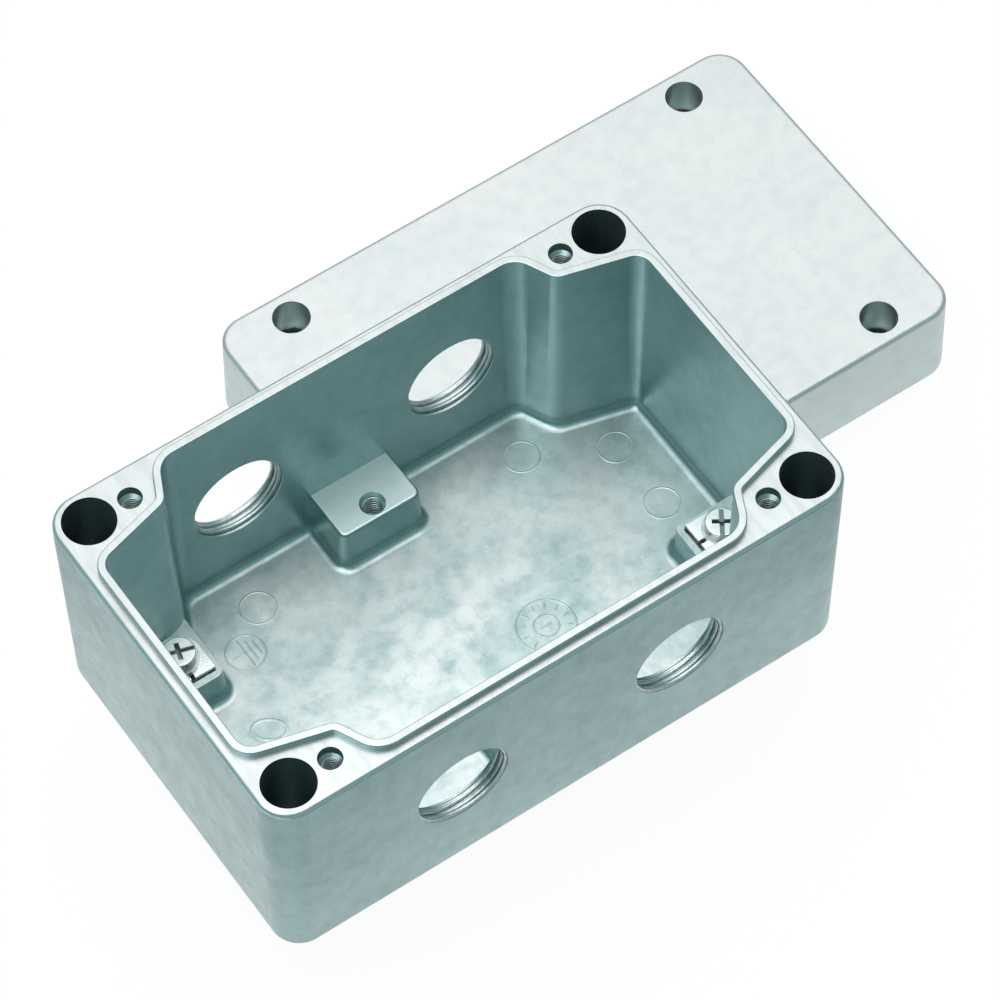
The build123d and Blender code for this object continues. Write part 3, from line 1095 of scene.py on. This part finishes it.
@dataclass(frozen=True)
class BaseCasting:
    """The base: its skin, the threads in its holes and the marks on its floor.

    Attributes:
        node: Name of the CAD node.
        slot: The record's material slot of the casting.
        entry_x: Distance of the cable entries from the middle, along X.
        entry_level: Height of their middles.
        entry_radius: Their radius.
        entry_middle: Distance of their threads' middle from the middle, along Y.
        entry_mouths: Distances of their two chamfers from the middle, along Y.
        well_x: Distance of the fixing wells from the middle, along X.
        screw_x: Distance of the lid screw holes from the middle, along X.
        corner_y: Distance of both from the middle, along Y.
        screw_level: Height of the middle of the lid screws' threads.
        rail_y: Distance of the rail fixings from the middle, along Y.
        rail_level: Height of the middle of their threads.
        finish: Finish of the casting.
        cut: Finish of the threads and chamfers.
        marks: The marks on the floor.
    """

    node: str = "base_casting"
    slot: str = "base_casting"
    entry_x: float = 30.5 * MM
    entry_level: float = 32.5 * MM
    entry_radius: float = 12.5 * MM
    entry_middle: float = 47.6 * MM
    entry_mouths: Tuple[float, float] = (49.05 * MM, 46.15 * MM)
    well_x: ClassVar[float] = 71.5 * MM
    screw_x: ClassVar[float] = 60.4 * MM
    corner_y: ClassVar[float] = 41.95 * MM
    screw_level: float = 54.2 * MM
    rail_y: float = 34.35 * MM
    rail_level: float = 11.4 * MM
    finish: CastFinish = CastFinish(
        "cast_base",
        zones=CutZones(foot=62.3 * MM, reach_x=79.0 * MM, reach_y=49.2 * MM, level=63.3 * MM, pad=17.0 * MM),
        floor=4.6 * MM,
        # Painted shade on the walls of the fixing wells and the lid screw holes.
        shaded_holes=((well_x, corner_y, 6.55 * MM), (screw_x, corner_y, 3.0 * MM)),
    )
    cut: PlatedFinish = PlatedFinish(
        "cut_thread", tint=(0.58, 0.64, 0.64), shade=(0.38, 0.45, 0.45), roughness=0.33
    )
    marks: FloorMarks = FloorMarks()

    def threads(self) -> Tuple[ThreadSet, ...]:
        """The threads in the casting.

        Returns:
            Those of the cable entries, the lid screw holes and the rail fixings.
        """
        return (
            ThreadSet(
                name="entry_threads",
                centres=mirrored(self.entry_x, self.entry_middle, self.entry_level),
                radius=self.entry_radius,
                pitch=1.5 * MM,
                turns=1.9,
                ridge=0.85 * MM,
                run_out=0.25,
                turn=ALONG_Y,
            ),
            ThreadSet(
                name="lid_screw_threads",
                centres=mirrored(self.screw_x, self.corner_y, self.screw_level),
                radius=2.1 * MM,
                pitch=0.8 * MM,
                turns=15.0,
                ridge=0.22 * MM,
                run_out=0.6,
            ),
            ThreadSet(
                name="rail_threads",
                centres=((0.0, self.rail_y, self.rail_level), (0.0, -self.rail_y, self.rail_level)),
                radius=2.5 * MM,
                pitch=1.0 * MM,
                turns=9.4,
                ridge=0.30 * MM,
                run_out=0.6,
            ),
        )

    def mouths(self) -> MouthSet:
        """The chamfers at both ends of the cable entries.

        Returns:
            The chamfers, the outer ones first.
        """
        outer, inner = (mirrored(self.entry_x, y, self.entry_level) for y in self.entry_mouths)
        return MouthSet(
            name="entry_mouths",
            centres=outer + inner,
            radius=self.entry_radius,
            ridge=0.90 * MM,
            length=1.6 * MM,
            turn=ALONG_Y,
        )

    def make(self, nodes: Dict[str, bpy.types.Object]) -> None:
        """Dresses the casting and adds its threads, chamfers and marks.

        Args:
            nodes: The CAD nodes, by name.
        """
        dress(nodes[self.node], self.finish)
        grower = ThreadGrower()
        for threads in self.threads():
            threads.piece(grower, self.cut, self.slot)
        self.mouths().piece(ChamferGrower(), self.cut, self.slot)
        self.marks.pieces(self.finish, self.slot)


@dataclass(frozen=True)
class LidAssembly:
    """The taken-off lid with its seal and its four screws.

    Attributes:
        finish: Finish of the casting.
        seal: Finish of the seal.
        screws: Finish of the screws.
        screw_count: Number of screws.
    """

    finish: CastFinish = CastFinish(
        "cast_lid",
        # Walls darker and more teal than the faces that look up: painted shade and painted light.
        tint=(0.53, 0.62, 0.62),
        shade=(0.42, 0.49, 0.49),
        lit_face_tint=(0.585, 0.570, 0.570),
        roughness=0.34,
        cloud_size=34.0 * MM,
        cloud_depth=0.42,
        relief=0.014,
    )
    seal: RubberFinish = RubberFinish("seal_rubber")
    screws: PlatedFinish = PlatedFinish("screw_plating", roughness=0.34)
    screw_count: int = 4

    def make(self, nodes: Dict[str, bpy.types.Object]) -> None:
        """Dresses the lid's nodes.

        Args:
            nodes: The CAD nodes, by name.
        """
        dress(nodes["lid_casting"], self.finish)
        dress(nodes["lid_seal"], self.seal)
        for number in range(1, self.screw_count + 1):
            dress(nodes[f"lid_screw_{number}"], self.screws)


class Side(Enum):
    """Sides of the base, as seen from its front."""

    LEFT = "left"
    RIGHT = "right"


@dataclass(frozen=True)
class EarthTerminal:
    """One earth terminal: saddle clamp, washer and screw.

    Attributes:
        side: Side of the base on which it sits.
        clamp: Finish of the saddle clamp.
        washer: Finish of the washer.
        screw: Finish of the screw, whose recess is darkened with painted shade.
    """

    side: Side
    clamp: PlatedFinish = PlatedFinish(
        "clamp_plating",
        tint=(0.90, 0.90, 0.88),
        shade=(0.72, 0.74, 0.73),
        roughness=0.28,
        grain=(6.0, 1.0, 1.0),
    )
    washer: PlatedFinish = PlatedFinish("washer_plating", roughness=0.33)
    screw: PlatedFinish = PlatedFinish(
        "earth_screw_plating",
        tint=(0.86, 0.87, 0.86),
        shade=(0.66, 0.69, 0.69),
        roughness=0.30,
        # Painted shade below the top of the screw head.
        shade_below=17.6 * MM,
    )

    def make(self, nodes: Dict[str, bpy.types.Object]) -> None:
        """Dresses the terminal's three nodes.

        Args:
            nodes: The CAD nodes, by name.
        """
        dress(nodes[f"earth_clamp_{self.side.value}"], self.clamp)
        dress(nodes[f"earth_washer_{self.side.value}"], self.washer)
        dress(nodes[f"earth_screw_{self.side.value}"], self.screw)


# Studio


@dataclass(frozen=True)
class Softbox:
    """A rectangular lamp that faces the object.

    Attributes:
        name: Name of the lamp.
        direction: Direction from the object to the lamp.
        distance: How far away it stands, in metres.
        size: Its two sides, in metres.
        power: Its power, in watts.
        tint: Its colour.
    """

    name: str
    direction: Point
    distance: float
    size: Tuple[float, float]
    power: float
    tint: Colour = (1.0, 1.0, 1.0)

    def make(self, target: Vector) -> None:
        """Hangs the lamp and turns it to the target.

        Args:
            target: The place that it lights.
        """
        light = bpy.data.lights.new(self.name, "AREA")
        light.shape = "RECTANGLE"
        light.size, light.size_y = self.size
        light.energy = self.power
        light.color = self.tint
        lamp = bpy.data.objects.new(self.name, light)
        away = Vector(self.direction).normalized()
        lamp.location = target + away * self.distance
        lamp.rotation_mode = "QUATERNION"
        lamp.rotation_quaternion = (-away).to_track_quat("-Z", "Y")
        bpy.context.scene.collection.objects.link(lamp)


@dataclass(frozen=True)
class Studio:
    """A plain pale floor, soft lamps, and the camera at the photograph's angle.

    Attributes:
        floor_level: Height of the floor, which is the lid's rim plane.
        floor_reach: Half the side of the floor.
        floor_tint: Colour of the floor to everything but the camera.
        seen_tint: Colour of the floor to the camera.
        seen_white: Share of plain white that the camera sees in the floor.
        mirrored_white: Share of plain white that metal shows of the floor far from the object.
        mirrored_light_pool: Share of plain white that metal shows of the floor next to the object: a painted
            pool of light.
        light_pool_reach: Distance from the object's outline at which that pool of light has faded.
        outlines: Middle and half sides of the base's and the lid's outlines on the floor.
        room_white: Share of plain white that metal shows of the room.
        ambient: Colour of the room's light.
        ambient_strength: Strength of the room's light.
        camera_place: Where the camera stands, from a fit to the photograph.
        camera_right: Direction of the picture's right side.
        camera_down: Direction of its lower side.
        camera_forward: Direction in which the camera looks.
        lens: Focal length in millimetres.
        sensor: Width of the sensor in millimetres.
        sight: Nearest and farthest distance that the camera sees.
        target: The place that the lamps face.
        lamps: The lamps.
    """

    floor_level: float = -25.7 * MM
    floor_reach: float = 2.5
    floor_tint: Colour = (0.48, 0.49, 0.49)
    seen_tint: Colour = (0.96, 0.96, 0.96)
    seen_white: float = 0.95
    mirrored_white: float = 0.06
    mirrored_light_pool: float = 1.0
    light_pool_reach: float = 0.065
    outlines: Tuple[Tuple[float, float, float, float], ...] = (
        (0.0, 0.0, 0.0800, 0.0502),
        (0.0799, 0.0593, 0.0800, 0.0502),
    )
    room_white: float = 0.02
    ambient: Colour = (0.75, 1.0, 1.0)
    ambient_strength: float = 0.47
    camera_place: Point = (-0.34445, -0.54116, 1.06853)
    camera_right: Point = (0.82500627, -0.56503899, -0.00977767)
    camera_down: Point = (-0.48084387, -0.69277377, -0.53745108)
    camera_forward: Point = (0.2969071, 0.44810205, -0.84323824)
    lens: float = 186.3
    sensor: float = 36.0
    sight: Tuple[float, float] = (0.05, 20.0)
    target: Point = (0.030, 0.020, 0.030)
    lamps: Tuple[Softbox, ...] = (
        Softbox("top_softbox", (0.0, 0.05, 1.0), 1.30, (0.8, 0.8), 5.4),
        Softbox("back_right_fill", (0.30, 0.45, 0.84), 1.15, (1.3, 1.1), 5.6),
        Softbox("high_left_fill", (-0.54, -0.03, 0.84), 1.20, (0.8, 0.8), 5.6),
    )

    def metal_rays(self, graph: Graph, rays: bpy.types.Node) -> Wire:
        """1 for rays that metal or glass sends out, 0 for others."""
        reflected, passed = graph.wire(rays, "Is Glossy Ray"), graph.wire(rays, "Is Transmission Ray")
        return graph.maths("MAXIMUM", reflected, passed)

    def clearance(self, graph: Graph, spot: Wire) -> Wire:
        """Distance of a place on the floor from the nearest of the outlines.

        Args:
            graph: The floor's nodes.
            spot: The place.

        Returns:
            The distance, in metres.
        """
        x, y, _ = graph.axes(spot)
        nearest: Number = 1.0
        for middle_x, middle_y, half_x, half_y in self.outlines:
            beside_x = graph.maths("MAXIMUM", abs(x - middle_x) - half_x, 0.0)
            beside_y = graph.maths("MAXIMUM", abs(y - middle_y) - half_y, 0.0)
            distance = graph.maths("SQRT", beside_x * beside_x + beside_y * beside_y)
            nearest = graph.maths("MINIMUM", nearest, distance)
        return nearest

    def floor(self) -> bpy.types.Object:
        """Makes the floor: mostly white to the camera, still taking the object's shadow, with a painted pool
        of light next to the object that metal and glass see.

        Returns:
            The floor's plane.
        """
        reach = self.floor_reach
        mesh = bpy.data.meshes.new("studio_floor")
        corners = [(-reach, -reach), (reach, -reach), (reach, reach), (-reach, reach)]
        mesh.from_pydata([(x, y, self.floor_level) for x, y in corners], [], [(0, 1, 2, 3)])
        material = bpy.data.materials.new("studio_floor")
        material.use_nodes = True
        graph = Graph(material.node_tree)
        spot = graph.place()
        paper = graph.noise(spot, 1.5 * MM, 3.0, 0.6)
        rays = graph.node("ShaderNodeLightPath")
        camera = graph.wire(rays, "Is Camera Ray")
        paper_tint = graph.blend(camera, self.floor_tint, self.seen_tint)
        colour = graph.blend(paper * 0.06, paper_tint, self.floor_tint)
        matt = graph.node("ShaderNodeBsdfDiffuse", None, {"Color": colour})
        white = graph.node("ShaderNodeEmission", None, {"Strength": 1.0})
        seen = camera * self.seen_white
        # Painted pool of light next to the object, seen only by metal and glass.
        pool = graph.between(self.clearance(graph, spot), self.light_pool_reach, 0.0)
        mirrored = self.mirrored_white + pool * (self.mirrored_light_pool - self.mirrored_white)
        share = graph.maths("MAXIMUM", seen, self.metal_rays(graph, rays) * mirrored)
        mixed = graph.node("ShaderNodeMixShader", None, {0: share, 1: graph.wire(matt), 2: graph.wire(white)})
        graph.node("ShaderNodeOutputMaterial", None, {"Surface": graph.wire(mixed)})
        mesh.materials.append(material)
        floor = bpy.data.objects.new("studio_floor", mesh)
        bpy.context.scene.collection.objects.link(floor)
        return floor

    def world(self) -> None:
        """White to the camera, a dim even room to everything else."""
        world = bpy.data.worlds.new("studio_room")
        world.use_nodes = True
        graph = Graph(world.node_tree)
        rays = graph.node("ShaderNodeLightPath")
        mirrored = self.metal_rays(graph, rays) * self.room_white
        seen = graph.maths("MAXIMUM", graph.wire(rays, "Is Camera Ray"), mirrored)
        strength = seen + (1.0 - seen) * self.ambient_strength
        colour = graph.blend(seen, self.ambient, (1.0, 1.0, 1.0))
        room = graph.node("ShaderNodeBackground", None, {"Color": colour, "Strength": strength})
        graph.node("ShaderNodeOutputWorld", None, {"Surface": graph.wire(room)})
        bpy.context.scene.world = world

    def camera(self) -> None:
        """The camera, placed and turned as a fit to the photograph gave it."""
        data = bpy.data.cameras.new("camera")
        data.lens = self.lens
        data.sensor_width = self.sensor
        data.clip_start, data.clip_end = self.sight
        camera = bpy.data.objects.new("camera", data)
        right = Vector(self.camera_right)
        up = -Vector(self.camera_down)
        back = -Vector(self.camera_forward)
        turn = Matrix((right, up, back)).transposed()
        camera.matrix_world = Matrix.Translation(self.camera_place) @ turn.to_4x4()
        bpy.context.scene.collection.objects.link(camera)
        bpy.context.scene.camera = camera

    def make(self) -> None:
        """Sets up the floor, the room, the lamps and the camera."""
        self.floor()
        self.world()
        for lamp in self.lamps:
            lamp.make(Vector(self.target))
        self.camera()
        bpy.context.scene.view_settings.view_transform = "Standard"


def main(studio: Studio = Studio()) -> None:
    """Builds the dressed part in its studio.

    Args:
        studio: The studio that it stands in.
    """
    logging.basicConfig(level=logging.INFO, format="%(name)s: %(message)s")
    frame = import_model()
    nodes = frame["nodes"]
    BaseCasting().make(nodes)
    LidAssembly().make(nodes)
    for side in Side:
        EarthTerminal(side).make(nodes)
    studio.make()


if __name__ == "__main__":
    main()
